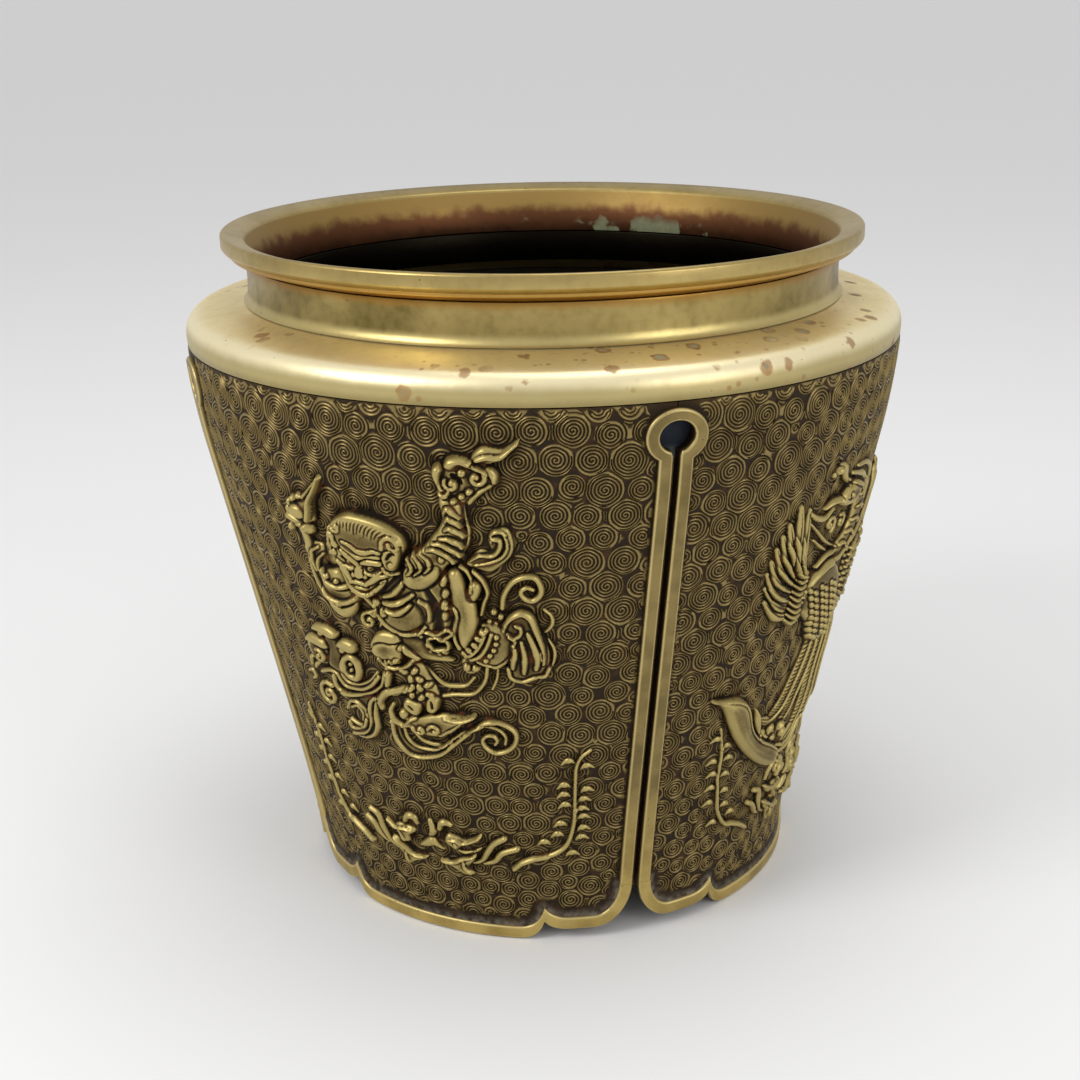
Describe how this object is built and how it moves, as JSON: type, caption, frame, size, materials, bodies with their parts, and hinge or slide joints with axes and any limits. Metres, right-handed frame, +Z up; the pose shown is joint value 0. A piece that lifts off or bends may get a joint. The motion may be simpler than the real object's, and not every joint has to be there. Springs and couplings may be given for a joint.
{
  "type": "bronze jardiniere",
  "caption": "Tapering round bronze planter with lobed feet, keyhole slits, spiral-cloud relief panels, a plain shoulder and a rolled mouth.",
  "frame": {"origin": "centre of the ring that the lobed feet stand on", "axes": "+Z up the vessel's axis; the front panel, with the leaping figure, faces -Y and the phoenix panel beside it faces +X"},
  "size_m": [0.26, 0.26, 0.2432],
  "materials": {
    "polished_bronze": "polished, with small pits and brown spots",
    "border_bronze": "rubbed raised borders",
    "spiral_ground": "brown patina with rubbed crests",
    "relief_bronze": "brown patina, rubbed on the high places",
    "dark_interior": "dark oxidised"
  },
  "bodies": {
    "root": {"mouth_rim": "polished_bronze", "neck_collar": "polished_bronze", "shoulder_ring": "polished_bronze", "upper_vessel": "dark_interior", "lower_vessel": "dark_interior", "base_plate": "dark_interior", "relief_panel_front": "spiral_ground", "relief_panel_right": "spiral_ground", "relief_panel_back": "spiral_ground", "relief_panel_left": "spiral_ground", "slit_frame_front": "border_bronze", "slit_frame_right": "border_bronze", "slit_frame_back": "border_bronze", "slit_frame_left": "border_bronze", "lower_hem_front": "border_bronze", "lower_hem_right": "border_bronze", "lower_hem_back": "border_bronze", "lower_hem_left": "border_bronze", "demon_figure_front": "relief_bronze", "phoenix_figure_right": "relief_bronze", "demon_figure_back": "relief_bronze", "phoenix_figure_left": "relief_bronze", "left_spray_front": "relief_bronze", "left_spray_right": "relief_bronze", "left_spray_back": "relief_bronze", "left_spray_left": "relief_bronze", "right_spray_front": "relief_bronze", "right_spray_right": "relief_bronze", "right_spray_back": "relief_bronze", "right_spray_left": "relief_bronze", "leaf_cluster_front": "relief_bronze", "leaf_cluster_right": "relief_bronze", "leaf_cluster_back": "relief_bronze", "leaf_cluster_left": "relief_bronze"}
  },
  "joints": []
}
